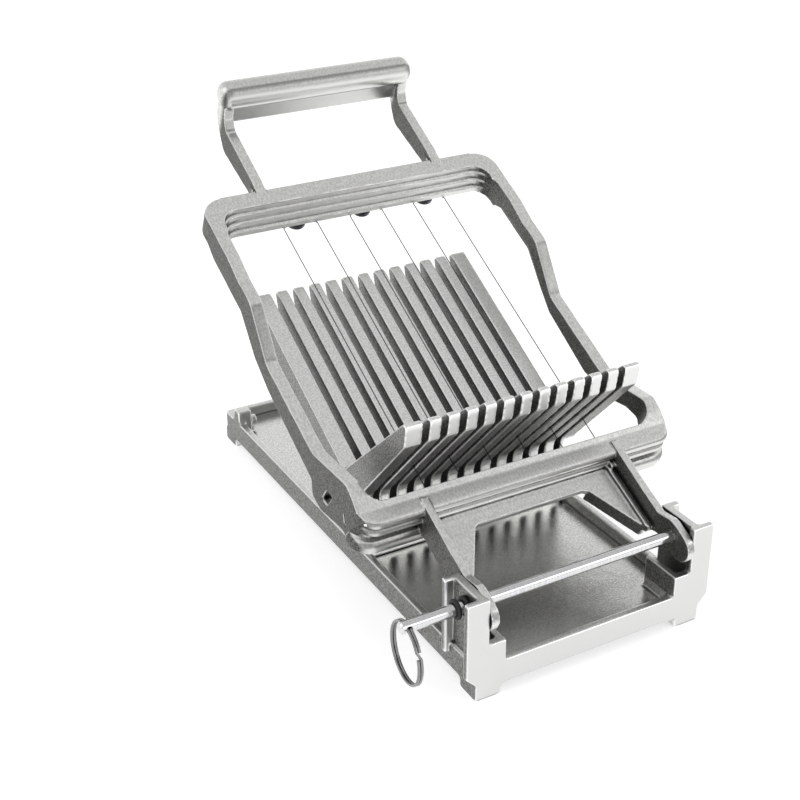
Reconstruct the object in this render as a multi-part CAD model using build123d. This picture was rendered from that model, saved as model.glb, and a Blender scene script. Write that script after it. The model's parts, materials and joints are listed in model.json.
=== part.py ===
from build123d import *
from math import atan2, cos, degrees, radians, sin, tan
import os

# Wire slicer for butter and soft cheese: a cast tray with a slotted V bed, and a cast frame that is
# strung with six wires and swings down on a pull-out pin.
# While the pieces are drawn, X runs along the hinge pin, Y runs from the front wall to the rear and
# Z is up from the table. The last step moves everything so that the origin is the middle of the
# whole object's footprint.

# ---------------------------------------------------------------- driving sizes, in millimetres

# How far a cutter or a joining piece reaches past a face
overcut = 1.0

# Tray
tray_length = 286.0
tray_floor_top = 12.0
tray_floor_thickness = 4.0
tray_skirt_bottom = 5.0
rim_top = 18.5
rim_thickness = 4.0
tray_corner_radius = 3.0
foot_size = 14.0
foot_chamfer = 1.2

# Hinge posts and the low ribs beside them
post_top = 54.0
post_depth = 26.0
post_plate_thickness = 4.0
post_plate_inset = 2.0
front_flange_reach = 7.0
front_flange_thickness = 3.5
rear_flange_reach = 5.0
flange_bottom = 14.0
rib_top = 29.5
rib_inset = 12.5
rib_thickness = 3.5
rib_length = 23.0

# Rear rests for the handle arms
lug_height = 26.0
lug_width = 8.5
lug_depth = 9.0
lug_rear_gap = 12.0
lug_notch_depth = 3.0
lug_notch_length = 6.0
lug_bevel = 3.0
lug_nub_radius = 3.0
lug_nub_length = 4.0
lug_nub_drop = 1.0

# Slotted bed
slot_count = 12
slot_pitch = 10.0
slot_width = 3.9
end_finger_width = 9.0
bed_overhang = 1.95
bed_valley_y = 124.0
bed_valley_z = 60.0
bed_front_angle = 41.7
bed_front_length = 87.0
bed_rear_angle = 29.2
bed_rear_length = 119.5
finger_tip_height = 15.0
front_tip_lean = 2.5
rear_tip_lean = 4.0
front_taper = 1.22
rear_taper = 1.1
finger_tip_round = 2.0
stem_front_y = 110.0
stem_rear_y = 152.0
stem_fillet = 9.0
stem_cut_top = 50.0
bed_plate_thickness = 4.0
bed_screw_inset = 16.0
bed_screw_from_face = 8.0
bed_side_gap = 0.5

# Hinge pin and its ring
pin_diameter = 6.0
pin_axis_y = 12.0
pin_axis_z = 45.5
pin_left_end = 96.5
pin_right_proud = 1.0
pin_end_chamfer = 0.8
pin_hole_diameter = 3.2
pin_hole_inset = 3.6
running_clearance = 0.08
o_ring_section = 1.1
o_ring_gap = 0.3
o_ring_pitch = 3.2
o_ring_count = 2
ring_outer_diameter = 30.8
ring_wire_diameter = 2.2
ring_split_gap = 2.4
ring_split_angle = 20.0
ring_turn = -5.0

# Cutting frame, measured along it from the pin (u) and square to it (v)
frame_angle = 26.0
bed_to_rail_gap = 16.25
rail_thickness = 7.0
rear_corner_radius = 12.0
front_corner_radius = 8.0
front_end_depth = 30.0
window_corner_radius = 10.0
front_window_u = 62.0
front_beam_u = 53.0
front_beam_top_v = 1.8
front_beam_bottom_v = -20.5
upper_bead_reach = 3.0
middle_bead_reach = 3.4
lower_bead_reach = 5.5
lower_bead_proud = 2.2
bead_root = 2.0
bead_flat = 0.4
bead_end_u = 60.0
rear_window_u = 241.5
rear_beam_u = 258.5
rear_beam_low_v = -1.8
rear_step = 2.4
rear_step_rise = 3.5
rear_step_count = 3
rear_step_run = 24.0
rear_step_side = 1.5
rail_front_rise = (66.0, 4.8)
rail_front_flat = 6.0
rail_crest = (73.6, 6.2)
rail_dip_start = (104.6, -9.8)
rail_dip_end = (161.0, -8.7)
rail_shoulder = (188.0, 8.6)
rail_shoulder_flat = 14.0
rail_rear_top = (218.0, 11.0)
rail_end_rise = 1.0
rail_end_lean = 1.5
rail_under_end = (232.0, -4.5)
rail_under_rear = (195.0, -5.5)
rail_under_bend = (173.1, -16.9)
rail_under_front = (154.0, -21.3)
rail_step_depth = 3.5
rail_step_end = (230.0, -3.4)
rail_step_rear = (222.0, 0.5)
rail_step_shoulder = (193.0, 0.5)
rail_step_bend = (171.0, -11.7)
rail_step_front = (158.0, -17.6)
rail_step_foot = (116.0, -21.8)
rail_step_start = (106.0, -24.6)
right_rail_foot = (124.0, -23.4)
right_rail_knee = (92.0, -16.3)
right_rail_rise = (81.0, -9.3)
right_rail_arch = (72.0, -7.0)
right_rail_end = (66.5, -10.0)
right_rail_toe_u = 63.0
right_rail_round = 5.0
boss_root = (100.0, -24.9)
boss_front_lean = 3.6
boss_low_v = -32.2
boss_front_u = 86.0
boss_rear_u = 96.0
boss_hole = (84.0, -19.0)
boss_hole_half_width = 3.6
boss_hole_half_height = 5.2
boss_hole_lean = 1.2
boss_hole_depth = 4.0
boss_slit_top = (68.8, -10.3)
boss_slit_foot = (64.8, -15.4)
boss_slit_width = 1.4

# Hinge arms and the web between them
arm_side_gap = 1.0
arm_thickness = 4.0
eye_radius = 7.5
eye_stretch = 7.0
arm_root = 4.0
arm_top_v = 2.0
arm_root_top_v = 3.0
arm_shoulder_u = 24.0
arm_neck_u = 13.0
arm_eye_front_u = 4.0
arm_throat_u = 6.0
arm_low_start_u = 17.0
arm_low_v = -14.0
arm_round = 4.0
lump_width = 3.0
lump_reach = 5.9
lump_low_v = -10.0
lump_high_v = -4.0
web_top_v = -8.0
web_thickness = 3.0
web_middle_u = 41.2
web_middle_half = 32.2
web_end_u = 11.0
web_end_half = 49.7
web_window_round = 5.0
web_flange_width = 3.0
web_flange_low_v = -16.0
web_flange_start_u = 13.0
web_root = 2.0
ridge_height = 1.6
ridge_width = 2.2
ridge_inset = 2.0

# Handle
handle_arm_outer_x = 56.6
handle_arm_thickness = 5.7
handle_arm_root = 8.0
handle_arm_low_v = 5.3
handle_arm_low_rear_v = 3.3
handle_arm_top_v = 11.5
handle_arm_top_rear_v = 17.0
handle_arm_crest = (264.0, 14.5)
handle_heel_reach = 10.8
handle_heel_rise = 10.0
handle_back_thickness = 1.1
handle_back_rise = 3.0
handle_neck_rise = 5.0
handle_neck_depth = 4.0
handle_neck_lean = 2.0
handle_grip_u = 311.8
handle_grip_v = 33.0
handle_grip_diameter = 15.5
handle_grip_half = 58.0
handle_grip_round = 5.5
handle_web_thickness = 5.0
handle_web_low_v = 15.5

# Wires, their nipples and the screws that hold them
wires_per_screw = 2
wire_diameter = 0.5
wire_hole_diameter = 1.1
wire_front_v = -10.0
nipple_u = 57.0
nipple_diameter = 2.6
nipple_length = 3.2
nipple_clearance = 0.1
screw_u = 247.5
screw_head_diameter = 11.0
screw_head_height = 3.0
screw_head_round = 1.2
screw_shank_diameter = 5.0
screw_reach = 4.5
screw_slot_width = 1.2
screw_slot_depth = 1.4
washer_diameter = 10.4
washer_thickness = 1.0
bed_screw_diameter = 4.0
bed_screw_head = 8.0
bed_screw_head_height = 2.2
bed_screw_length = 7.0
bed_screw_end_gap = 0.5
bed_screw_slot_width = 1.0
bed_screw_slot_depth = 0.9

# ------------------------------------------------------------------------- values worked out

slots_half_span = slot_pitch * (slot_count - 1) / 2
slot_centres = [slot_pitch * i - slots_half_span for i in range(slot_count)]
bed_half_width = slots_half_span + slot_width / 2 + end_finger_width
wall_half = bed_half_width - bed_overhang
post_plate_outer_x = wall_half - post_plate_inset
rib_outer_x = wall_half - rib_inset
arm_outer_x = post_plate_outer_x - post_plate_thickness - arm_side_gap
frame_half_width = bed_half_width + bed_to_rail_gap + rail_thickness
wire_slots = slot_centres[1::2]
screw_groups = [wire_slots[i:i + wires_per_screw] for i in range(0, len(wire_slots), wires_per_screw)]
screw_centres = [sum(group) / len(group) for group in screw_groups]
front_beads = [
    (-3.2, front_beam_top_v, upper_bead_reach, 0.0),
    (-8.4, -3.8, middle_bead_reach, 0.0),
    (front_beam_bottom_v, -11.8, lower_bead_reach, lower_bead_proud),
]
pin_radius = pin_diameter / 2
hinge = Vector(0, pin_axis_y, pin_axis_z)


def block(x, y, z):
    """A box from its (low, high) pairs along X, Y and Z."""
    size = (x[1] - x[0], y[1] - y[0], z[1] - z[0])
    centre = ((x[0] + x[1]) / 2, (y[0] + y[1]) / 2, (z[0] + z[1]) / 2)
    return Pos(*centre) * Box(*size)


def side_plate(outline, x_low, x_high):
    """A plate square to X, from its outline of (y, z) points or its face drawn as (y, z)."""
    face = make_face(Polyline(*outline, close=True)) if isinstance(outline, list) else outline
    return extrude(Plane(origin=(x_low, 0, 0), x_dir=(0, 1, 0), z_dir=(1, 0, 0)) * face, x_high - x_low)


def rod(start, end, diameter):
    """A round bar between two points."""
    start, end = Vector(*start), Vector(*end)
    span = end - start
    return extrude(Plane(origin=start, z_dir=span) * Circle(diameter / 2), span.length)


def both_sides(right):
    """The right-hand piece with its mirror image on the left."""
    return right + mirror(right, about=Plane.YZ)


def rounded(points, rounds):
    """A closed outline with some of its corners rounded: rounds holds (corner number, radius)."""
    face = make_face(Polyline(*points, close=True))
    for number, radius in rounds:
        corner = face.vertices().sort_by_distance(Vector(*points[number]))[0]
        face = fillet(corner, radius)
    return face


# ------------------------------------------------------------------------------------ tray


def make_tray():
    inner_half = wall_half - rim_thickness
    outline = RectangleRounded(2 * wall_half, tray_length, tray_corner_radius)
    shell = Pos(0, tray_length / 2, tray_skirt_bottom) * extrude(outline, rim_top - tray_skirt_bottom)
    well = block((-inner_half, inner_half), (rim_thickness, tray_length - rim_thickness),
                 (tray_floor_top, rim_top + overcut))
    under = block((-inner_half, inner_half), (rim_thickness, tray_length - rim_thickness),
                  (tray_skirt_bottom - overcut, tray_floor_top - tray_floor_thickness))
    tray = shell - well - under

    foot = block((wall_half - foot_size, wall_half), (0, foot_size), (0, tray_skirt_bottom + overcut))
    foot = chamfer(foot.edges().filter_by(Axis.Y).group_by(Axis.Z)[0].sort_by(Axis.X)[0], foot_chamfer)
    foot += block((wall_half - foot_size, wall_half), (0, foot_size),
                  (tray_skirt_bottom, tray_floor_top - tray_floor_thickness))
    rear_foot = Pos(0, tray_length, 0) * mirror(foot, about=Plane.XZ)
    tray += both_sides(foot) + both_sides(rear_foot)
    tray += both_sides(make_post()) + both_sides(make_lug())

    for y in (bed_bolt_front, bed_bolt_rear):
        for x in (-bed_bolt_x, bed_bolt_x):
            top = tray_floor_top + overcut
            low = tray_floor_top - tray_floor_thickness - overcut
            tray -= rod((x, y, low), (x, y, top), bed_screw_diameter + 2 * running_clearance)
    reach = post_plate_outer_x + front_flange_reach
    return tray - rod((-reach, pin_axis_y, pin_axis_z), (reach, pin_axis_y, pin_axis_z),
                      pin_diameter + 2 * running_clearance)


def make_post():
    """The right-hand post: a plate with two flanges turned outwards, and the low rib inside it."""
    inner_x = post_plate_outer_x - post_plate_thickness
    low = tray_floor_top - tray_floor_thickness
    post = block((inner_x, post_plate_outer_x), (0, post_depth), (low, post_top))
    reach = post_plate_outer_x + front_flange_reach
    slope = reach - wall_half
    flange_outline = [
        (inner_x - overcut, low), (wall_half, low), (wall_half, flange_bottom - slope),
        (reach, flange_bottom), (reach, post_top), (inner_x - overcut, post_top),
    ]
    front = make_face(Polyline(*flange_outline, close=True))
    post += extrude(Plane(origin=(0, front_flange_thickness, 0), x_dir=(1, 0, 0), z_dir=(0, -1, 0)) * front,
                    front_flange_thickness)
    post += block((inner_x, post_plate_outer_x + rear_flange_reach),
                  (post_depth - front_flange_thickness, post_depth), (flange_bottom, post_top))
    rib_inner = rib_outer_x - rib_thickness
    post += block((rib_inner, rib_outer_x), (0, rib_length), (low, rib_top))
    post += block((rib_inner, inner_x), (0, rim_thickness), (low, rib_top))
    return post


def make_lug():
    """The right-hand rear rest: an upright with a notch behind it and a nub on its inner side."""
    low = tray_floor_top - tray_floor_thickness
    rear = tray_length - lug_rear_gap - lug_depth / 2
    lug_front = rear - lug_depth / 2
    lug_rear = rear + lug_depth / 2
    notch_z = rim_top - lug_notch_depth
    inner_end = tray_length - rim_thickness
    outline = [
        (lug_front, low), (lug_front, lug_height), (lug_rear - lug_bevel, lug_height), (lug_rear, notch_z),
        (inner_end, rim_top), (inner_end, low),
    ]
    inner_x = wall_half - lug_width
    lug = side_plate(outline, inner_x, wall_half)
    lug -= block((wall_half - rim_thickness - overcut, wall_half + overcut),
                 (lug_rear, tray_length - lug_notch_length), (notch_z, lug_height))
    nub_z = rim_top - lug_nub_drop
    lug += rod((inner_x - lug_nub_length, rear, nub_z), (inner_x + overcut, rear, nub_z), 2 * lug_nub_radius)
    return lug


# ------------------------------------------------------------------------------- slotted bed

front_rise = radians(bed_front_angle)
rear_rise = radians(bed_rear_angle)
front_tip = (bed_valley_y - bed_front_length * cos(front_rise),
             bed_valley_z + bed_front_length * sin(front_rise))
rear_tip = (bed_valley_y + bed_rear_length * cos(rear_rise),
            bed_valley_z + bed_rear_length * sin(rear_rise))
bed_bolt_front = stem_front_y + bed_screw_from_face
bed_bolt_rear = stem_rear_y - bed_screw_from_face
bed_bolt_x = bed_half_width - bed_screw_inset


def finger_outline():
    """One finger of the bed seen from the side: two arms that meet in a V on one stem."""
    front_low_tip = (front_tip[0] + front_tip_lean, front_tip[1] - finger_tip_height)
    front_root_z = front_low_tip[1] - (stem_front_y - front_low_tip[0]) * tan(front_rise) * front_taper
    rear_low_tip = (rear_tip[0] - rear_tip_lean, rear_tip[1] - finger_tip_height)
    rear_root_z = rear_low_tip[1] - (rear_low_tip[0] - stem_rear_y) * tan(rear_rise) * rear_taper
    points = [
        front_tip, (bed_valley_y, bed_valley_z), rear_tip, rear_low_tip, (stem_rear_y, rear_root_z),
        (stem_rear_y, tray_floor_top), (stem_front_y, tray_floor_top), (stem_front_y, front_root_z),
        front_low_tip,
    ]
    face = rounded(points, [(4, stem_fillet), (7, stem_fillet)])
    front_limit = front_low_tip[0] + overcut
    rear_limit = rear_low_tip[0] - overcut
    tips = [v for v in face.vertices() if v.X < front_limit or v.X > rear_limit]
    return fillet(tips, finger_tip_round)


def make_bed():
    """The fingers between the slots, which stand on one plate that the slots leave whole."""
    body = side_plate(finger_outline(), -bed_half_width, bed_half_width)
    plate_top = tray_floor_top + bed_plate_thickness
    for x in slot_centres:
        body -= block((x - slot_width / 2, x + slot_width / 2), (0, tray_length),
                      (plate_top, rear_tip[1] + overcut))
    inner_half = wall_half - rim_thickness - bed_side_gap
    body -= both_sides(block((inner_half, bed_half_width + overcut), (0, tray_length), (0, stem_cut_top)))
    screw_end = tray_floor_top - tray_floor_thickness + bed_screw_length
    for y in (bed_bolt_front, bed_bolt_rear):
        for x in (-bed_bolt_x, bed_bolt_x):
            body -= rod((x, y, tray_floor_top - overcut), (x, y, screw_end + bed_screw_end_gap),
                        bed_screw_diameter + 2 * running_clearance)
    return body


def make_bed_screws():
    """Four screws from below, through the tray into the bed."""
    low = tray_floor_top - tray_floor_thickness
    head_low = low - bed_screw_head_height
    screws = []
    for y in (bed_bolt_front, bed_bolt_rear):
        for x in (-bed_bolt_x, bed_bolt_x):
            head = rod((x, y, head_low), (x, y, low), bed_screw_head)
            shank = rod((x, y, head_low + overcut), (x, y, low + bed_screw_length), bed_screw_diameter)
            slot = block((x - bed_screw_head, x + bed_screw_head),
                         (y - bed_screw_slot_width / 2, y + bed_screw_slot_width / 2),
                         (head_low - overcut, head_low + bed_screw_slot_depth))
            screws.append(head + shank - slot)
    return Compound(screws)


# ------------------------------------------------------------------------------ hinge pieces


def make_pin():
    right_end = post_plate_outer_x + pin_right_proud
    pin = rod((-pin_left_end, pin_axis_y, pin_axis_z), (right_end, pin_axis_y, pin_axis_z), pin_diameter)
    pin = chamfer(pin.edges().filter_by(GeomType.CIRCLE), pin_end_chamfer)
    hole_x = -pin_left_end + pin_hole_inset
    reach = pin_radius + overcut
    return pin - rod((hole_x, pin_axis_y - reach, pin_axis_z), (hole_x, pin_axis_y + reach, pin_axis_z),
                     pin_hole_diameter)


def make_o_rings():
    """Two rubber rings on the pin, outside the left post."""
    radius = pin_radius + o_ring_section / 2 + running_clearance
    rings = []
    for number in range(o_ring_count):
        x = -post_plate_outer_x - o_ring_gap - o_ring_section / 2 - number * o_ring_pitch
        rings.append(Pos(x, pin_axis_y, pin_axis_z) * Rot(0, 90, 0) * Torus(radius, o_ring_section / 2))
    return Compound(rings)


def make_split_ring():
    """A round wire ring in the pin's cross hole, hanging, with its ends a little apart."""
    hole_x = -pin_left_end + pin_hole_inset
    radius = (ring_outer_diameter - ring_wire_diameter) / 2
    turn = 360 - degrees(ring_split_gap / radius)
    arc = CenterArc((0, 0), radius, ring_split_angle, turn)
    path = Plane(origin=(0, 0, -radius), x_dir=(0, 1, 0), z_dir=(1, 0, 0)) * arc
    ring = sweep(Plane(origin=path @ 0, z_dir=path % 0) * Circle(ring_wire_diameter / 2), path)
    return Pos(hole_x, pin_axis_y, pin_axis_z) * Rot(0, 0, ring_turn) * ring


# ------------------------------------------------------------------- cutting frame, in (u, v)


def rail_outline():
    """The frame from the left side: it rises in two bends, and a boss hangs near the front."""
    points = [
        (front_beam_u, front_beam_top_v), (front_beam_u + rail_front_flat, front_beam_top_v),
        rail_front_rise, rail_crest, rail_dip_start, rail_dip_end, rail_shoulder,
        (rail_shoulder[0] + rail_shoulder_flat, rail_shoulder[1]), rail_rear_top,
        (rear_beam_u, rail_rear_top[1] + rail_end_rise), (rear_beam_u - rail_end_lean, rear_beam_low_v),
        (rear_window_u, rear_beam_low_v), rail_under_end, rail_under_rear, rail_under_bend,
        rail_under_front, boss_root, (boss_rear_u, boss_low_v), (boss_front_u, boss_low_v),
        (front_window_u + boss_front_lean, front_beam_bottom_v), (front_beam_u, front_beam_bottom_v),
    ]
    rounds = [(3, 4.0), (4, 12.0), (5, 10.0), (6, 8.0), (14, 10.0), (17, 3.0), (18, 5.0)]
    return rounded(points, rounds)


def plan_column(face):
    """A shape seen from above, (x, u), as a column through the whole frame."""
    return extrude(face, handle_grip_u, both=True)


def make_frame_casting():
    inner_half = frame_half_width - rail_thickness
    length = rear_beam_u - front_beam_u
    middle = (rear_beam_u + front_beam_u) / 2
    plan = RectangleRounded(2 * frame_half_width, length, rear_corner_radius)
    front_end = RectangleRounded(2 * frame_half_width, front_end_depth, front_corner_radius)
    window_length = rear_window_u - front_window_u
    window = RectangleRounded(2 * inner_half, window_length, window_corner_radius)
    plan = Pos(0, middle) * plan + Pos(0, front_beam_u + front_end_depth / 2) * front_end
    plan -= Pos(0, (rear_window_u + front_window_u) / 2) * window
    casting = side_plate(rail_outline(), -frame_half_width, frame_half_width) & plan_column(plan)
    for step in range(1, rear_step_count + 1):
        casting -= rear_step_cut(step)
    for bead in front_beads:
        casting += front_bead(*bead)
    casting -= rail_steps() + right_rail_cut() + boss_marks()
    casting += both_sides(make_arm()) + make_arm_web() + make_handle()
    reach = arm_outer_x + overcut
    casting -= rod((-reach, 0, 0), (reach, 0, 0), pin_diameter + 2 * running_clearance)
    for x in wire_slots:
        casting -= wire_hole(x) + nipple_bore(x)
    for x in screw_centres:
        casting -= rod((x, screw_u, rear_beam_low_v - overcut),
                       (x, screw_u, rear_beam_low_v + screw_reach + overcut),
                       screw_shank_diameter + 2 * running_clearance)
    return casting


def front_bead(low_v, high_v, reach, proud):
    """A bead that runs round the front of the frame from one side to the other."""
    depth = reach + bead_root
    height = high_v - low_v
    half = frame_half_width + proud - depth / 2
    front = front_beam_u - reach + depth / 2
    path = FilletPolyline((-half, bead_end_u), (-half, front), (half, front), (half, bead_end_u),
                          radius=front_corner_radius - overcut)
    path = Pos(0, 0, (low_v + high_v) / 2) * path
    section = RectangleRounded(depth, height, (min(depth, height) - bead_flat) / 2)
    return sweep(Plane(origin=path @ 0, x_dir=(1, 0, 0), z_dir=path % 0) * section, path)


def rear_step_cut(step):
    """One of the steps along the inner face of the rear beam, with rounded ends."""
    half = frame_half_width - rail_thickness - rear_step_side
    floor_v = rear_beam_low_v + rear_step_rise * step
    face = RectangleRounded(2 * half, rear_step_run, window_corner_radius - overcut)
    column = extrude(face, rail_rear_top[1] - rear_beam_low_v)
    return Pos(0, rear_window_u + rear_step * step - rear_step_run / 2, floor_v) * column


def rail_steps():
    """The step along the inner lower edge of both rails, which are thinner inside than outside."""
    inner = frame_half_width - rail_thickness
    low_v = boss_low_v - overcut
    points = [
        (rail_step_end[0], low_v), rail_step_end, rail_step_rear, rail_step_shoulder, rail_step_bend,
        rail_step_front, rail_step_foot, rail_step_start, (rail_step_start[0], low_v),
    ]
    return both_sides(side_plate(points, inner - overcut, inner + rail_step_depth))


def right_rail_cut():
    """What the right rail lacks below: it has no boss, and arches up before it meets the front beam."""
    low_v = boss_low_v - overcut
    points = [
        (right_rail_foot[0], low_v), right_rail_foot, right_rail_knee, right_rail_rise, right_rail_arch,
        right_rail_end, (right_rail_toe_u, front_beam_bottom_v), (right_rail_toe_u, low_v),
    ]
    outline = rounded(points, [(corner, right_rail_round) for corner in (2, 4)])
    return side_plate(outline, frame_half_width - rail_thickness - overcut, frame_half_width + overcut)


def boss_marks():
    """The four-cornered hole and the slit in the outer face of the left rail's boss."""
    u, v = boss_hole
    wide, high, lean = boss_hole_half_width, boss_hole_half_height, boss_hole_lean
    outline = [(u - wide, v + high), (u + wide / 2, v + high - lean), (u + wide, v - high),
               (u - wide / 2, v - high + lean)]
    outside = frame_half_width + overcut
    hole = side_plate(outline, frame_half_width - boss_hole_depth, outside)
    top, foot = Vector(*boss_slit_top), Vector(*boss_slit_foot)
    across = (top - foot).normalized().rotate(Axis.Z, 90) * boss_slit_width / 2
    corners = [top + across, top - across, foot - across, foot + across]
    slit = side_plate([(corner.X, corner.Y) for corner in corners],
                      frame_half_width - boss_hole_depth / 2, outside)
    return mirror(hole + slit, about=Plane.YZ)


def make_arm():
    """The right-hand hinge arm, which ends in a pill-shaped eye round the pin."""
    beam = front_beam_u + arm_root
    points = [
        (beam, arm_root_top_v), (arm_shoulder_u, arm_top_v), (arm_neck_u, arm_top_v),
        (arm_eye_front_u, eye_radius), (-eye_stretch, eye_radius), (-eye_stretch, -eye_radius),
        (arm_throat_u, -eye_radius), (arm_low_start_u, arm_low_v), (beam, arm_low_v),
    ]
    outline = rounded(points, [(7, arm_round), (2, arm_round), (3, arm_round)])
    outline += Pos(-eye_stretch, 0) * Circle(eye_radius)
    inner_x = arm_outer_x - arm_thickness
    arm = side_plate(outline, inner_x, arm_outer_x)
    lump = block((inner_x - lump_width, inner_x + lump_width), (front_beam_u - lump_reach, front_beam_u),
                 (lump_low_v, lump_high_v))
    return arm + lump


def make_arm_web():
    """The thin web between the arms, with a window that widens towards the hinge."""
    half = arm_outer_x - overcut
    inner = arm_outer_x - arm_thickness
    rear_u = front_beam_u + web_root
    low_v = web_top_v - web_thickness
    window_slant = (web_end_half - web_middle_half) / (web_middle_u - web_end_u)
    web = block((-half, half), (web_end_u, rear_u), (low_v, web_top_v))
    web += both_sides(block((inner - ridge_width - ridge_inset, inner - ridge_inset), (web_end_u, rear_u),
                            (low_v, web_top_v + ridge_height)))
    flange_end = web_end_half - (web_flange_start_u - web_end_u) * window_slant
    flange = make_face(Polyline(
        (web_middle_half, web_middle_u), (web_middle_half + web_flange_width, web_middle_u),
        (flange_end + web_flange_width, web_flange_start_u), (flange_end, web_flange_start_u), close=True))
    web += both_sides(Pos(0, 0, web_flange_low_v) * extrude(flange, web_top_v - web_flange_low_v))
    outline = [
        (-web_middle_half, web_middle_u), (web_middle_half, web_middle_u),
        (web_end_half, web_end_u), (web_end_half, 0), (-web_end_half, 0), (-web_end_half, web_end_u),
    ]
    return web - plan_column(rounded(outline, [(0, web_window_round), (1, web_window_round)]))


def make_handle():
    """Two flat arms behind the rear beam, turned up into the ends of a round grip with a web under it."""
    start = rear_beam_u - handle_arm_root
    front = handle_grip_u - handle_web_thickness / 2
    web_rear = front + handle_web_thickness
    rear = web_rear + handle_back_thickness
    heel_u = handle_grip_u - handle_heel_reach
    neck_u = front - handle_neck_depth
    points = [
        (start, handle_arm_low_v), (heel_u, handle_arm_low_rear_v),
        (handle_grip_u, handle_arm_low_rear_v + handle_heel_rise),
        (rear, handle_arm_top_rear_v + handle_back_rise), (rear, handle_grip_v),
        (neck_u + handle_neck_lean, handle_grip_v), (neck_u, handle_arm_top_rear_v + handle_neck_rise),
        (heel_u, handle_arm_top_rear_v), handle_arm_crest, (start, handle_arm_top_v),
    ]
    arm_face = rounded(points, [(1, 9.0), (2, 9.0), (6, 5.0), (7, 5.0)])
    inner_x = handle_arm_outer_x - handle_arm_thickness
    arm = side_plate(arm_face, inner_x, handle_arm_outer_x)
    grip = rod((-handle_grip_half, handle_grip_u, handle_grip_v),
               (handle_grip_half, handle_grip_u, handle_grip_v), handle_grip_diameter)
    grip = fillet(grip.edges().filter_by(GeomType.CIRCLE), handle_grip_round)
    half = handle_arm_outer_x - overcut
    web = block((-half, half), (front, web_rear), (handle_web_low_v, handle_grip_v))
    return both_sides(arm) + grip + web


# ------------------------------------------------------------------------------------ wires


def wire_v(u):
    """Height of the wires, which run straight from the front holes to under the rear beam's edge."""
    end_v = rear_beam_low_v - wire_diameter / 2
    share = (u - front_window_u) / (rear_window_u - front_window_u)
    return wire_front_v + (end_v - wire_front_v) * share


def wire_hole(x):
    front = nipple_u
    rear = front_window_u + overcut
    return rod((x, front, wire_v(front)), (x, rear, wire_v(rear)), wire_hole_diameter)


def nipple_bore(x):
    """The hole from below that a wire's nipple sits in."""
    bore_diameter = nipple_diameter + 2 * nipple_clearance
    top = wire_v(nipple_u) + nipple_length / 2 + nipple_clearance
    return rod((x, nipple_u, front_beam_bottom_v - overcut), (x, nipple_u, top), bore_diameter)


def make_wire(x, screw_x):
    """One wire: straight across the window, then bent under the rear beam round its screw."""
    side = 1 if x > screw_x else -1
    wrap = screw_shank_diameter / 2 + wire_diameter
    end_v = rear_beam_low_v - wire_diameter / 2
    points = [
        (x, nipple_u, wire_v(nipple_u)),
        (x, rear_window_u, end_v),
        (screw_x + side * wrap, screw_u - wrap / 2, end_v),
        (screw_x + side * wrap * 0.9, screw_u + wrap / 2, end_v),
        (screw_x + side * wrap / 5, screw_u + wrap, end_v),
    ]
    path = Polyline(*points)
    section = Plane(origin=path @ 0, z_dir=path % 0) * Circle(wire_diameter / 2)
    return sweep(section, path, transition=Transition.ROUND)


def make_nipples():
    """The barrel nipple on the front end of every wire, drawn against the rear of its bore."""
    nipples = []
    u = nipple_u + nipple_clearance
    rear_u = u + nipple_diameter
    middle = wire_v(nipple_u)
    half = nipple_length / 2
    for x in wire_slots:
        barrel = rod((x, u, middle - half), (x, u, middle + half), nipple_diameter)
        nipples.append(barrel - rod((x, nipple_u, middle), (x, rear_u, wire_v(rear_u)), wire_diameter))
    return Compound(nipples)


def make_washers():
    """A clamping washer on each screw, pressing two wires against the rear beam."""
    top = rear_beam_low_v - wire_diameter
    bore = screw_shank_diameter + 2 * running_clearance
    washers = []
    for x in screw_centres:
        disc = rod((x, screw_u, top - washer_thickness), (x, screw_u, top), washer_diameter)
        washers.append(disc - rod((x, screw_u, top - washer_thickness - overcut),
                                  (x, screw_u, top + overcut), bore))
    return Compound(washers)


def make_tension_screw(x):
    """A slotted pan head with its plain shank up in the rear beam."""
    top = rear_beam_low_v - wire_diameter - washer_thickness
    head = rod((x, screw_u, top - screw_head_height), (x, screw_u, top), screw_head_diameter)
    head = fillet(head.edges().filter_by(GeomType.CIRCLE).sort_by(Axis.Z)[0], screw_head_round)
    low = top - screw_head_height
    slot = block((x - screw_head_diameter, x + screw_head_diameter),
                 (screw_u - screw_slot_width / 2, screw_u + screw_slot_width / 2),
                 (low - overcut, low + screw_slot_depth))
    end = rear_beam_low_v + screw_reach
    shank = rod((x, screw_u, top - overcut), (x, screw_u, end), screw_shank_diameter)
    return head - slot + shank


def place_frame(piece):
    """Swings a piece drawn in (u, v) up to the frame's angle and out to the hinge pin."""
    return Pos(*hinge) * Rot(frame_angle, 0, 0) * piece


# ---------------------------------------------------------------------------------- writing

pieces = {
    "base_tray": make_tray(),
    "slotted_bed": make_bed(),
    "bed_screws": make_bed_screws(),
    "hinge_pin": make_pin(),
    "pin_o_rings": make_o_rings(),
    "split_ring": make_split_ring(),
    "cutting_frame": place_frame(make_frame_casting()),
}
pieces["wire_nipples"] = place_frame(make_nipples())
pieces["clamp_washers"] = place_frame(make_washers())
for number, x in enumerate(wire_slots):
    screw_x = screw_centres[number // wires_per_screw]
    pieces[f"cutting_wire_{number + 1}"] = place_frame(make_wire(x, screw_x))
for number, x in enumerate(screw_centres, 1):
    pieces[f"tension_screw_{number}"] = place_frame(make_tension_screw(x))

whole_box = Compound(list(pieces.values())).bounding_box()
to_origin = Pos(-whole_box.center().X, -whole_box.center().Y, -whole_box.min.Z)
os.makedirs("parts", exist_ok=True)
for name, piece in pieces.items():
    export_step(to_origin * piece, f"parts/{name}.step")
print("moved by", to_origin.position)
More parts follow.
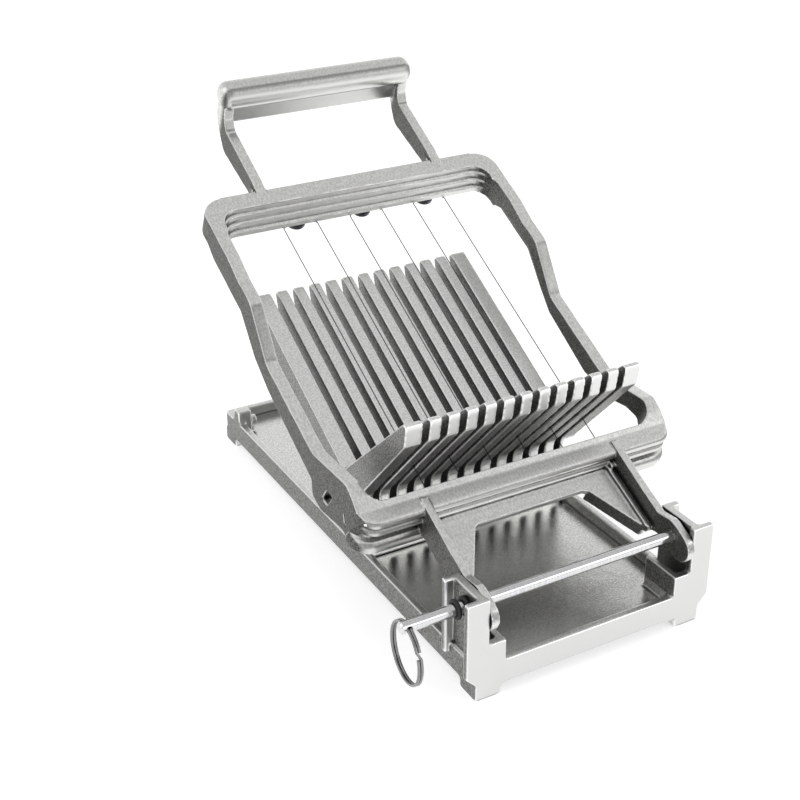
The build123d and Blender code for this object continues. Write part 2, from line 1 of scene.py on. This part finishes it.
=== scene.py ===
# %% [markdown]
# # A wire slicer for butter, dressed in cast aluminium
# The slicer is two big aluminium castings, a tray and a frame, with a slotted bed between them, a
# steel pin and six thin wires. The hard part isn't the shape, which comes ready made, but the skin:
# a casting has soft corners, a dull grainy surface where nobody touched it, and bright ridges where
# it was ground and tumbled, brightened further as a painted highlight, while painted shade darkens
# its hollows, sides and undersides. The cells below make that skin first as a material and then in the
# mesh.

# %% Start from the imported model
import bmesh
import bpy
import json
from math import cos, pi, radians, sin
from mathutils import Matrix, Vector

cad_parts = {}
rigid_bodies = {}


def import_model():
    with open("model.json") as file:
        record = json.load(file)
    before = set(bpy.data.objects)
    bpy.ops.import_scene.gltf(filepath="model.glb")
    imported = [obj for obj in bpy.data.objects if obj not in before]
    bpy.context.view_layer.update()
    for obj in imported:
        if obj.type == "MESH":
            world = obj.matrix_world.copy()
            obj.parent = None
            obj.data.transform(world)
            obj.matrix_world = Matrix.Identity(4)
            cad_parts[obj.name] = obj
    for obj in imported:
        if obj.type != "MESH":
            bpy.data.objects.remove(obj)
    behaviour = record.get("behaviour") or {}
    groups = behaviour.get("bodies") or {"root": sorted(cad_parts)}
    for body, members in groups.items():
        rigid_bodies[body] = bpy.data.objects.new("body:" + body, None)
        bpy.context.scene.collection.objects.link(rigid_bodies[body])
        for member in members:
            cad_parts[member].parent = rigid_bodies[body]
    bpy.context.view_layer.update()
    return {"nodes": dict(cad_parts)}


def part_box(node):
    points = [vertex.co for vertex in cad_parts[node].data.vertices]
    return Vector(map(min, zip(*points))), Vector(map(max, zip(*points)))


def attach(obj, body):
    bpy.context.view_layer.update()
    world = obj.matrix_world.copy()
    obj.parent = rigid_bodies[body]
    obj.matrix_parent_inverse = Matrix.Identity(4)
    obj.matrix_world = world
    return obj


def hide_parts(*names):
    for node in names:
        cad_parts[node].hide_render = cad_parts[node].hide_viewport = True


for leftover in list(bpy.data.objects):
    bpy.data.objects.remove(leftover)
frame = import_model()
print("nodes:", sorted(frame["nodes"]))

# %% [markdown]
# Every size is written in millimetres and turned to metres once. The tray tells where the middle of
# the slicer is, and the pin tells where the frame swings. Along the frame it is easier to think in
# its own directions: x across, u away from the pin and v square to it, so one matrix, `tilt`, turns
# those into the scene's own, and its inverse lays the frame flat again.

# %% Sizes and the frame's own directions
MM = 0.001
FRAME_ANGLE = radians(26)


def middle(node):
    """The middle of a node's box."""
    low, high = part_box(node)
    return (low + high) / 2


tray_middle = middle("base_tray")
pin_middle = middle("hinge_pin")
hinge = Vector((tray_middle.x, pin_middle.y, pin_middle.z))
tilt = Matrix.Translation(hinge) @ Matrix.Rotation(FRAME_ANGLE, 4, "X")
upright = Matrix.Translation(Vector((tray_middle.x, 0, 0)))
print("hinge at", [round(value / MM, 2) for value in hinge], "mm")

# %% [markdown]
# A colour picked from a screen is in sRGB, but a renderer adds up light in linear values, so one
# function turns hex colours to linear. The next few each add one kind of node and link it, so that a
# material below reads as a short recipe: a noise, a ramp between two limits, a mix, a bump.

# %% Helpers for materials


def linear(hex_colour):
    """An sRGB hex colour as a linear RGBA tuple."""
    channels = [int(hex_colour[i:i + 2], 16) / 255 for i in (0, 2, 4)]
    return tuple(c / 12.92 if c <= 0.04045 else ((c + 0.055) / 1.055) ** 2.4
                 for c in channels) + (1.0,)


def set_inputs(tree, node, inputs):
    """Sets each named socket of a node to a value, or links it to another node's output."""
    for socket, value in inputs.items():
        if isinstance(value, bpy.types.NodeSocket):
            tree.links.new(value, node.inputs[socket])
        else:
            node.inputs[socket].default_value = value


def add_node(tree, kind, inputs=None, **settings):
    """A node with its settings; inputs holds a value or another node's output for each socket."""
    node = tree.nodes.new(kind)
    for name, value in settings.items():
        setattr(node, name, value)
    set_inputs(tree, node, inputs or {})
    return node


def new_material(name):
    """An empty material: the material, its node tree and its Principled shader."""
    material = bpy.data.materials.new(name)
    material.use_nodes = True
    tree = material.node_tree
    return material, tree, tree.nodes["Principled BSDF"]


def noise(tree, vector, grain_mm, detail=3.0, rough=0.5):
    """A noise whose grains are about grain_mm across."""
    return add_node(tree, "ShaderNodeTexNoise",
                    {"Vector": vector, "Scale": 1 / (grain_mm * MM), "Detail": detail,
                     "Roughness": rough}).outputs["Fac"]


def ramp(tree, value, limits, results=(0.0, 1.0), kind="SMOOTHSTEP"):
    """Goes from the first result to the second while the value goes from one limit to the other."""
    return add_node(tree, "ShaderNodeMapRange",
                    {"Value": value, "From Min": limits[0], "From Max": limits[1],
                     "To Min": results[0], "To Max": results[1]},
                    interpolation_type=kind).outputs["Result"]


def mix(tree, share, first, second, kind="FLOAT"):
    """first where the share is 0 and second where it is 1."""
    return add_node(tree, "ShaderNodeMix", {"Factor": share, "A": first, "B": second},
                    data_type=kind).outputs["Result"]


def calculate(tree, operation, *values):
    """One sum on numbers or on other nodes' outputs."""
    return add_node(tree, "ShaderNodeMath", dict(enumerate(values)),
                    operation=operation).outputs[0]


def scaled(tree, colour, factor):
    """A colour made lighter or darker."""
    return add_node(tree, "ShaderNodeVectorMath", {0: colour, "Scale": factor},
                    operation="SCALE").outputs["Vector"]


def bump(tree, height, strength, depth_mm, under=None):
    """The normals of a surface that rises and falls with height, on top of the bumps under it."""
    inputs = {"Height": height, "Strength": strength, "Distance": depth_mm * MM}
    if under is not None:
        inputs["Normal"] = under
    return add_node(tree, "ShaderNodeBump", inputs).outputs["Normal"]


# %% [markdown]
# ## Cast aluminium
# Aluminium poured in a mould comes out with a dull grey, sandy skin. A grinding belt makes the faces
# that look up light and satiny, a polishing wheel makes the fronts almost white, and nobody touches
# the sides and the undersides, so they keep the sandy skin. Their dark colour is partly that skin and
# partly painted shade, and faces that lean forward get a darker band of painted shade. One picture of
# metal can't do that, but the direction of each face can: the material lays the casting flat, reads
# which way it looks, and mixes the finishes by that.
#
# Corners that the tumbler rubbed shine, as wear, and their near-white colour also serves as a painted
# highlight. Hollows get painted shade, a near-black colour. Cycles knows both as Pointiness, which
# needs a dense mesh and only finds sharp ones. For the wider coves, where two faces meet in a round,
# ambient occlusion asks how much of its surroundings a point sees within 3.5 mm, and darkens them as
# painted shade. The sand grain is 0.25 mm on the real thing and is drawn at 0.7 mm, so that it shows.

# %% The casting material
SAND_MM, SCRATCH_MM, PATCH_MM = 0.7, 0.9, 9.0
COVE_MM, COVE_SAMPLES = 3.5, 8

# How far a face has to turn for a finish to begin, and for it to be complete; 1 is square on.
SIDE, UNDER = (0.68, 0.9), (-0.35, -0.75)
FRONT, SLOPE = (-0.72, -0.97), (-0.3, -0.5)
PAN_FLOOR = (0.6, 0.9)
# A pan's wall faces the middle: its direction times its distance from there is negative.
PAN_WALL = (-10 * MM, -40 * MM)
HELD_BLEND_MM, PAN_BLEND_MM = 5, 1

# Limits for the painted shade in coves and creases and for the ridges; the near-black colour is
# painted shade, and the near-white of the ridges is partly rubbed wear and partly a painted highlight.
COVE, CREASE, RIDGE = (0.72, 0.36), (0.494, 0.455), (0.515, 0.56)
HOLLOW_SHADE, RUBBED_AND_HIGHLIGHT, RUBBED_ROUGH = "2B2B2A", "FAFAFA", 0.2

# The middle band of a noise, and how light or dark the metal is at its two ends.
BAND, SCRATCH_TONE, SAND_TONE = (0.36, 0.64), (0.86, 1.12), (0.45, 1.65)
# How far the patches shift the edge of a side, and how rough they make the metal.
RAGGED, PATCH_ROUGH = 0.3, 0.12
# What is left of the sandy skin and its painted shade in held places and in the pan, in colour and
# then in bumps.
HELD_SKIN, PAN_SKIN, PAN_BUMPS = 0.1, 0.25, 0.6


def cast_aluminium(name, lie, belt, wheel, skin_and_shade, slope_shade=None, pan=None, pan_top_mm=0.0,
                   streak=(1.0, 1.0, 1.0), held_from_mm=None):
    """Cast aluminium; belt, wheel, skin, slope and pan are each a (hex colour, roughness) pair.

    lie is the matrix that the piece was turned by. belt is for what looks up, wheel for what looks
    forward, slope_shade for what leans forward, a darker band of painted shade, skin_and_shade for the
    sides and undersides, a colour that is partly the sandy cast surface and partly painted shade, and
    pan for a floor and the walls round it that are lower than pan_top_mm. streak squeezes the belt's
    grain, so that it runs along the piece. From held_from_mm on, hands have polished the sides too."""
    material, tree, shader = new_material(name)
    turn_back = lie.inverted().to_euler()
    place = add_node(tree, "ShaderNodeTexCoord")
    flat_place = add_node(tree, "ShaderNodeMapping",
                          {"Vector": place.outputs["Object"], "Rotation": turn_back,
                           "Location": lie.inverted().to_translation()}).outputs["Vector"]
    flat_normal = add_node(tree, "ShaderNodeMapping",
                           {"Vector": place.outputs["Normal"], "Rotation": turn_back},
                           vector_type="NORMAL").outputs["Vector"]
    squeezed = add_node(tree, "ShaderNodeMapping",
                        {"Vector": flat_place, "Scale": streak}).outputs["Vector"]
    facing = add_node(tree, "ShaderNodeSeparateXYZ", {"Vector": flat_normal}).outputs
    spot = add_node(tree, "ShaderNodeSeparateXYZ", {"Vector": flat_place}).outputs

    sand = noise(tree, flat_place, SAND_MM, rough=0.7)
    patches = noise(tree, flat_place, PATCH_MM)
    scratches = noise(tree, squeezed, SCRATCH_MM, rough=0.6)

    # Sides and undersides take the skin colour, which is partly the sandy cast surface and partly
    # painted shade.
    sideways = calculate(tree, "ABSOLUTE", facing["X"])
    is_side = ramp(tree, calculate(tree, "MULTIPLY_ADD", patches, RAGGED, sideways), SIDE)
    is_skin_and_shade = calculate(tree, "MAXIMUM", is_side, ramp(tree, facing["Z"], UNDER))
    if held_from_mm:
        held = (held_from_mm * MM, (held_from_mm + HELD_BLEND_MM) * MM)
        is_skin_and_shade = mix(tree, ramp(tree, spot["Y"], held), is_skin_and_shade, HELD_SKIN)
    is_front = ramp(tree, facing["Y"], FRONT)
    layers = [(wheel, is_front), (skin_and_shade, is_skin_and_shade)]
    # Faces that lean forward take the slope colour, a darker band of painted shade.
    if slope_shade:
        layers.insert(0, (slope_shade, ramp(tree, facing["Y"], SLOPE)))
    has_bumps = is_skin_and_shade
    if pan:
        is_low = ramp(tree, spot["Z"], ((pan_top_mm + PAN_BLEND_MM) * MM, pan_top_mm * MM))
        looks_in = ramp(tree, calculate(tree, "MULTIPLY", facing["X"], spot["X"]), PAN_WALL)
        is_face = calculate(tree, "MAXIMUM", looks_in, ramp(tree, facing["Z"], PAN_FLOOR))
        is_pan = calculate(tree, "MULTIPLY", is_low, is_face)
        layers.append((pan, is_pan))
        has_bumps = mix(tree, is_pan, is_skin_and_shade, PAN_BUMPS)
        is_skin_and_shade = mix(tree, is_pan, is_skin_and_shade, PAN_SKIN)
    colour, rough = linear(belt[0]), belt[1]
    for (layer_colour, layer_rough), share in layers:
        colour = mix(tree, share, colour, linear(layer_colour), "RGBA")
        rough = mix(tree, share, rough, layer_rough)

    speckle = mix(tree, is_skin_and_shade, ramp(tree, scratches, BAND, SCRATCH_TONE),
                  ramp(tree, sand, BAND, SAND_TONE))
    speckle = mix(tree, is_front, speckle, 1.0)
    point = add_node(tree, "ShaderNodeNewGeometry").outputs["Pointiness"]
    shade = add_node(tree, "ShaderNodeAmbientOcclusion", {"Distance": COVE_MM * MM},
                     samples=COVE_SAMPLES).outputs["AO"]
    # Painted shade: coves found by ambient occlusion and creases found by Pointiness get a near-black
    # colour.
    hollow = calculate(tree, "MAXIMUM", ramp(tree, shade, COVE), ramp(tree, point, CREASE))
    # Sharp ridges get a near-white colour, partly rubbed wear and partly a painted highlight, and a
    # smoother finish.
    ridge_wear_and_highlight = ramp(tree, point, RIDGE)
    hollow_shaded = mix(tree, hollow, scaled(tree, colour, speckle), linear(HOLLOW_SHADE), "RGBA")
    rough = mix(tree, ridge_wear_and_highlight, rough, RUBBED_ROUGH)

    sandy = bump(tree, calculate(tree, "MULTIPLY", sand, has_bumps), strength=0.6, depth_mm=0.2)
    set_inputs(tree, shader, {
        "Base Color": mix(tree, ridge_wear_and_highlight, hollow_shaded, linear(RUBBED_AND_HIGHLIGHT), "RGBA"),
        "Roughness": calculate(tree, "MULTIPLY_ADD", patches, PATCH_ROUGH, rough),
        "Normal": bump(tree, patches, strength=0.4, depth_mm=0.3, under=sandy),
        "Metallic": 1.0})
    return material


# The skin colours below are partly the sandy cast surface and partly painted shade, and the frame's
# slope colour is painted shade.
frame_metal = cast_aluminium("cast_aluminium_ground_frame", tilt, belt=("E2E2E0", 0.27),
                             wheel=("E0E0DE", 0.24), skin_and_shade=("5E5E5C", 0.42), slope_shade=("969694", 0.3),
                             streak=(1.0, 0.5, 1.0), held_from_mm=306)
bed_metal = cast_aluminium("cast_aluminium_milled_bed", upright, belt=("EAEAE8", 0.34),
                           wheel=("E2E2E0", 0.26), skin_and_shade=("828280", 0.36))
tray_metal = cast_aluminium("cast_aluminium_polished_tray", upright, belt=("DCDCDA", 0.26),
                            wheel=("D8D8D7", 0.3), skin_and_shade=("7A7A78", 0.34), pan=("DCDCDA", 0.12),
                            pan_top_mm=17.5)

# %% [markdown]
# ## Steel, wire and rubber
# The pin is turned and polished stainless steel, so it is smooth and only faintly streaked round its
# girth. The split ring is hardened spring steel, which is darker. The wires are drawn stainless steel,
# coloured dark grey as painted shade so that they read as dark lines against a white table. The
# screws are plain steel, also coloured dark grey as painted shade, and the two rings on the pin are
# black nitrile rubber.

# %% Steel and rubber materials
# How light or dark the marks make the steel, and how much rougher or smoother.
MARK_BAND, MARK_TONE, MARK_ROUGH = (0.3, 0.7), (0.88, 1.08), 0.05
DUST_MM, DUST_TONE, RUBBER_ROUGH = 1.2, (0.7, 1.5), 0.6


def turned_steel(name, colour, rough, mark_mm, squeeze=(1.0, 1.0, 1.0)):
    """Steel with fine tool marks, which run round a bar when squeeze draws them out that way."""
    material, tree, shader = new_material(name)
    place = add_node(tree, "ShaderNodeTexCoord")
    squeezed = add_node(tree, "ShaderNodeMapping",
                        {"Vector": place.outputs["Object"], "Scale": squeeze}).outputs["Vector"]
    marks = noise(tree, squeezed, mark_mm)
    rough_limits = (rough - MARK_ROUGH, rough + MARK_ROUGH)
    set_inputs(tree, shader, {
        "Base Color": scaled(tree, linear(colour)[:3],
                             ramp(tree, marks, MARK_BAND, MARK_TONE, "LINEAR")),
        "Roughness": ramp(tree, marks, (0.0, 1.0), rough_limits, "LINEAR"),
        "Normal": bump(tree, marks, strength=0.15, depth_mm=0.03),
        "Metallic": 1.0})
    return material


def moulded_rubber(name, colour):
    """Black rubber: dull, faintly dusty, with a fine orange-peel surface."""
    material, tree, shader = new_material(name)
    place = add_node(tree, "ShaderNodeTexCoord")
    dust = noise(tree, place.outputs["Object"], DUST_MM, detail=2.0)
    set_inputs(tree, shader, {
        "Base Color": scaled(tree, linear(colour)[:3],
                             ramp(tree, dust, (0.0, 1.0), DUST_TONE, "LINEAR")),
        "Roughness": RUBBER_ROUGH,
        "Normal": bump(tree, dust, strength=0.2, depth_mm=0.05)})
    return material


pin_steel = turned_steel("stainless_steel_turned_pin", "DADADB", rough=0.16, mark_mm=0.5,
                         squeeze=(1.0, 0.05, 0.05))
ring_steel = turned_steel("spring_steel_split_ring", "8E8E8F", rough=0.22, mark_mm=0.6)
# The wires' dark grey colour is painted shade.
shaded_wire_steel = turned_steel("stainless_steel_drawn_wire_shaded", "48484B", rough=0.34, mark_mm=0.8,
                          squeeze=(1.0, 0.1, 0.1))
# The screws' dark grey colour is painted shade.
shaded_screw_steel = turned_steel("steel_screws_with_painted_shade", "55555A", rough=0.32, mark_mm=0.5)
ring_rubber = moulded_rubber("nitrile_rubber_rings", "1B1B1C")

# %% [markdown]
# ## Soft corners
# The model that comes in has knife-sharp corners, and light gives that away at once. A bevel on every
# edge would be the tidy way, but on faces cut by many holes it tangles. A voxel remesh wraps the piece
# in an even net instead, a few passes of smoothing melt the corners as a tumbler does, and a decimate
# gives back the points that flat faces don't need. Lumps and flares are simply put into the mesh
# first, because the net wraps them together with the rest, the way poured metal would.

# %% A function that softens a casting
WELD_MM = 0.001
MELT = 0.5


def put_in_scene(name, data):
    """A new object that shows in the scene."""
    thing = bpy.data.objects.new(name, data)
    bpy.context.scene.collection.objects.link(thing)
    return thing


def soften(name, node, lie, voxel_mm, passes, keep=1.0, lumps=()):
    """A copy of a node's mesh with melted corners.

    lie is the matrix that turns the lying piece into its place. Each lump is a function that adds
    its own mesh to the lying piece, and keep is the share of the faces that a decimate leaves."""
    shape = bmesh.new()
    shape.from_mesh(frame["nodes"][node].data)
    bmesh.ops.remove_doubles(shape, verts=shape.verts, dist=WELD_MM * MM)
    bmesh.ops.transform(shape, matrix=lie.inverted(), verts=shape.verts)
    for lump in lumps:
        lump(shape)
    rough_mesh = bpy.data.meshes.new(name + "_rough")
    shape.to_mesh(rough_mesh)
    shape.free()
    work = put_in_scene(name + "_work", rough_mesh)
    net = work.modifiers.new("net", "REMESH")
    net.mode = "VOXEL"
    net.voxel_size = voxel_mm * MM * 1.0
    melt = work.modifiers.new("melt", "SMOOTH")
    melt.factor = MELT
    melt.iterations = passes
    if keep < 1:
        thin = work.modifiers.new("thin", "DECIMATE")
        thin.ratio = keep
    bpy.context.view_layer.update()
    melted = work.evaluated_get(bpy.context.evaluated_depsgraph_get())
    mesh = bpy.data.meshes.new_from_object(melted)
    bpy.data.objects.remove(work)
    mesh.name = name
    mesh.transform(lie)
    mesh.shade_smooth()
    print(name, "has", len(mesh.polygons), "faces")
    return put_in_scene(name, mesh)


# %% [markdown]
# The frame has the finest corners of the three, so it gets the finest net and the most passes. The
# bed's fingers are thin, and more than two passes would eat them. Each casting stands for one CAD
# node: it rides on the same body and hides that node.

# %% The three castings
FLARE_OUT_MM = 2.2
FLARE_U_MM = (258.0, 266.0)
FLARE_V_MM = (5.0, 11.2)
ARM_FACES_MM = (50.9, 56.6)


def arm_flare(side):
    """A wedge that widens a handle arm where it grows out of the rear beam; side is -1 or 1."""
    def add_to(shape):
        near, far = FLARE_U_MM
        inner, outer = ARM_FACES_MM
        outline = ((inner - FLARE_OUT_MM, near), (outer + FLARE_OUT_MM, near),
                   (inner, far), (outer, far))
        points = [shape.verts.new(Vector((side * x, u, v)) * MM)
                  for v in FLARE_V_MM for x, u in outline]
        bmesh.ops.convex_hull(shape, input=points)
    return add_to


frame_casting = soften("frame_casting", "cutting_frame", tilt, voxel_mm=0.5, passes=6, keep=0.45,
                       lumps=[arm_flare(-1), arm_flare(1)])
frame_casting.data.materials.append(frame_metal)
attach(frame_casting, "frame")
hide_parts("cutting_frame")

bed_casting = soften("bed_casting", "slotted_bed", upright, voxel_mm=0.62, passes=2)
bed_casting.data.materials.append(bed_metal)
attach(bed_casting, "base")
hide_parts("slotted_bed")

tray_casting = soften("tray_casting", "base_tray", upright, voxel_mm=0.7, passes=3)
tray_casting.data.materials.append(tray_metal)
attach(tray_casting, "base")
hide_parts("base_tray")

# %% [markdown]
# ## The split ring and the rubber rings
# A split ring isn't one thick wire but two turns of a thin one, side by side, and the groove between
# them is what makes it read as a key ring. Its path stays on one side for almost a turn, jogs across
# where the two cut ends face each other, and goes round once more. A circle carried along that path
# gives the tube. The two rubber rings on the pin are closed loops of the same kind of tube, and they
# sit on the pin's girth, so their size comes from the pin.

# %% The split ring and the rubber rings
COIL_MM = 1.45
COIL_END = radians(152)
END_GAP, JOG = radians(6), radians(6)
RING_TURN = radians(-5)
COIL_STEPS, RUBBER_STEPS, TUBE_SIDES = 240, 48, 12
RUBBER_MM = 2.0
RUBBER_PITCH_MM = 4.6


def wire_loop(path, radius, closed):
    """The points and faces of a round tube.

    path holds a centre, an outward direction and a sideways direction for each step."""
    turns = [2 * pi * k / TUBE_SIDES for k in range(TUBE_SIDES)]
    points = [tuple(at + (out * cos(turn) + side * sin(turn)) * radius)
              for at, out, side in path for turn in turns]
    loops = len(path)
    faces = []
    for a in range(loops if closed else loops - 1):
        b = (a + 1) % loops
        for k in range(TUBE_SIDES):
            after = (k + 1) % TUBE_SIDES
            faces.append((a * TUBE_SIDES + k, a * TUBE_SIDES + after,
                          b * TUBE_SIDES + after, b * TUBE_SIDES + k))
    if not closed:
        last = (loops - 1) * TUBE_SIDES
        faces += [tuple(range(TUBE_SIDES))[::-1], tuple(range(last, last + TUBE_SIDES))]
    return points, faces


def small_piece(name, points, faces, material, body, node, slot):
    """A new piece that stands for a CAD node."""
    mesh = bpy.data.meshes.new(name)
    mesh.from_pydata(points, [], faces)
    mesh.shade_smooth()
    mesh.materials.append(material)
    piece = put_in_scene(name, mesh)
    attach(piece, body)
    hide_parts(node)


ring_low, ring_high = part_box("split_ring")
coil_radius = COIL_MM * MM / 2
coil_reach = (ring_high.z - ring_low.z) / 2 - coil_radius
ring_place = Matrix.Translation(middle("split_ring")) @ Matrix.Rotation(RING_TURN, 4, "Z")
sideways = ring_place.to_3x3() @ Vector((1, 0, 0))
coil_path = []
for step in range(COIL_STEPS + 1):
    angle = END_GAP + (4 * pi - 2 * END_GAP) * step / COIL_STEPS
    across = max(-1.0, min(1.0, (angle - 2 * pi) / JOG))
    out = Vector((0, cos(angle + COIL_END), sin(angle + COIL_END)))
    at = ring_place @ (out * coil_reach + Vector((across * coil_radius, 0, 0)))
    coil_path.append((at, ring_place.to_3x3() @ out, sideways))
small_piece("split_ring_coil", *wire_loop(coil_path, coil_radius, closed=False), ring_steel,
            "ring", "split_ring", "ring_steel")

rubber_low, rubber_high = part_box("pin_o_rings")
pin_low, pin_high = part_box("hinge_pin")
rubber_radius = RUBBER_MM * MM / 2
rubber_reach = (pin_high.z - pin_low.z) / 2 + rubber_radius
rubber_points, rubber_faces = [], []
for number in range(2):
    centre = Vector((rubber_high.x - rubber_radius - number * RUBBER_PITCH_MM * MM,
                     hinge.y, hinge.z))
    rubber_path = []
    for step in range(RUBBER_STEPS):
        angle = 2 * pi * step / RUBBER_STEPS
        out = Vector((0, cos(angle), sin(angle)))
        rubber_path.append((centre + out * rubber_reach, out, Vector((1, 0, 0))))
    points, faces = wire_loop(rubber_path, rubber_radius, closed=True)
    rubber_faces += [tuple(corner + len(rubber_points) for corner in face) for face in faces]
    rubber_points += points
small_piece("pin_rubber_rings", rubber_points, rubber_faces, ring_rubber, "pin", "pin_o_rings",
            "o_ring_rubber")

# %% [markdown]
# The pin, the wires and the screws are right as they come, down to their heads and slots. They only
# trade their plain material for one of the steels.

# %% Finishes for the turned and drawn pieces
finishes = {"hinge_pin": pin_steel, "wire_nipples": shaded_wire_steel,
            "bed_screws": shaded_screw_steel, "clamp_washers": shaded_screw_steel}
for node in frame["nodes"]:
    if node.startswith("cutting_wire"):
        finishes[node] = shaded_wire_steel
    elif node.startswith("tension_screw"):
        finishes[node] = shaded_screw_steel
for node, material in finishes.items():
    slots = frame["nodes"][node].data.materials
    slots.clear()
    slots.append(material)

# %% [markdown]
# ## Table, light and camera
# Metal shows what is round it, so the studio is half of the finish. The table glows for the eye and
# for mirrors, and is an ordinary pale table for all other light, so it is white in both and still
# takes a shadow. The air near the horizon is as white, which hides the table's far edge, and overhead
# it turns grey, so that faces that look up read darker than those that look forward. One soft lamp
# from the front right draws the bright bands along the round bars, and one from the left opens the
# shadows.

# %% Studio
TABLE_REACH_M, TABLE_DROP_MM = 90.0, 0.1
TABLE_COLOUR, TABLE_ROUGH, TABLE_GLOW = "D8D8D8", 0.9, 0.6
AIR_LOW, AIR_HIGH, AIR_RISE = "FFFFFF", "D6D6D6", (0.3, 0.75)
LIT_SPOT = (0, 0, 0.08)

corners = [(x * TABLE_REACH_M, y * TABLE_REACH_M, 0) for x, y in ((-1, -1), (1, -1), (1, 1), (-1, 1))]
table_mesh = bpy.data.meshes.new("table_top")
table_mesh.from_pydata(corners, [], [(0, 1, 2, 3)])
table = put_in_scene("table_top", table_mesh)
table.location.z = -TABLE_DROP_MM * MM

table_paint, tree, shader = new_material("white_table")
ray = add_node(tree, "ShaderNodeLightPath").outputs
is_seen = calculate(tree, "MAXIMUM", ray["Is Camera Ray"], ray["Is Glossy Ray"])
is_seen = calculate(tree, "MAXIMUM", is_seen, ray["Is Transmission Ray"])
set_inputs(tree, shader, {"Base Color": linear(TABLE_COLOUR), "Roughness": TABLE_ROUGH,
                          "Emission Color": linear("FFFFFF"),
                          "Emission Strength": calculate(tree, "MULTIPLY", is_seen, TABLE_GLOW)})
table_mesh.materials.append(table_paint)

world = bpy.data.worlds.new("studio_air")
bpy.context.scene.world = world
world.use_nodes = True
tree = world.node_tree
direction = add_node(tree, "ShaderNodeTexCoord")
height = add_node(tree, "ShaderNodeSeparateXYZ", {"Vector": direction.outputs["Generated"]})
rise = ramp(tree, height.outputs["Z"], AIR_RISE)
set_inputs(tree, tree.nodes["Background"],
           {"Color": mix(tree, rise, linear(AIR_LOW), linear(AIR_HIGH), "RGBA"), "Strength": 1.0})


def soft_lamp(name, place, size, power):
    """An oblong soft lamp that looks at the slicer."""
    lamp = bpy.data.lights.new(name, "AREA")
    lamp.shape = "RECTANGLE"
    lamp.size, lamp.size_y = size
    lamp.energy = power
    holder = put_in_scene(name, lamp)
    holder.location = place
    aim = Vector(LIT_SPOT) - Vector(place)
    holder.rotation_euler = aim.to_track_quat("-Z", "Y").to_euler()


soft_lamp("front_right_softbox", place=(0.87, -1.28, 0.8), size=(0.9, 0.45), power=3.0)
soft_lamp("left_softbox", place=(-1.3, 0.2, 0.9), size=(0.9, 1.2), power=3.0)

# %% [markdown]
# The camera was fitted to the photograph by the corners of the tray, its feet and its posts. The fit
# gives the place, measured from the hinge, the direction, and a focal length in pixels of a picture
# 800 pixels wide, which is turned into a lens here.

# %% Camera
FOCAL_PX = 1418.4
IMAGE_PX = 800
CAMERA_FROM_HINGE = Vector((-339.9, -439.0, 373.6)) * MM
AZIMUTH, ELEVATION, ROLL = radians(-29.1), radians(27.5), radians(0.3)

camera_data = bpy.data.cameras.new("camera")
camera_data.sensor_width = 36.0
camera_data.lens = FOCAL_PX / IMAGE_PX * camera_data.sensor_width
camera_data.clip_start = 0.02
camera = put_in_scene("camera", camera_data)
camera.location = hinge + CAMERA_FROM_HINGE
level = Matrix.Rotation(AZIMUTH, 3, "Z") @ Matrix.Rotation(pi / 2 - ELEVATION, 3, "X")
camera.rotation_euler = (level @ Matrix.Rotation(-ROLL, 3, "Z")).to_euler()
bpy.context.scene.camera = camera
bpy.context.scene.view_settings.view_transform = "Standard"
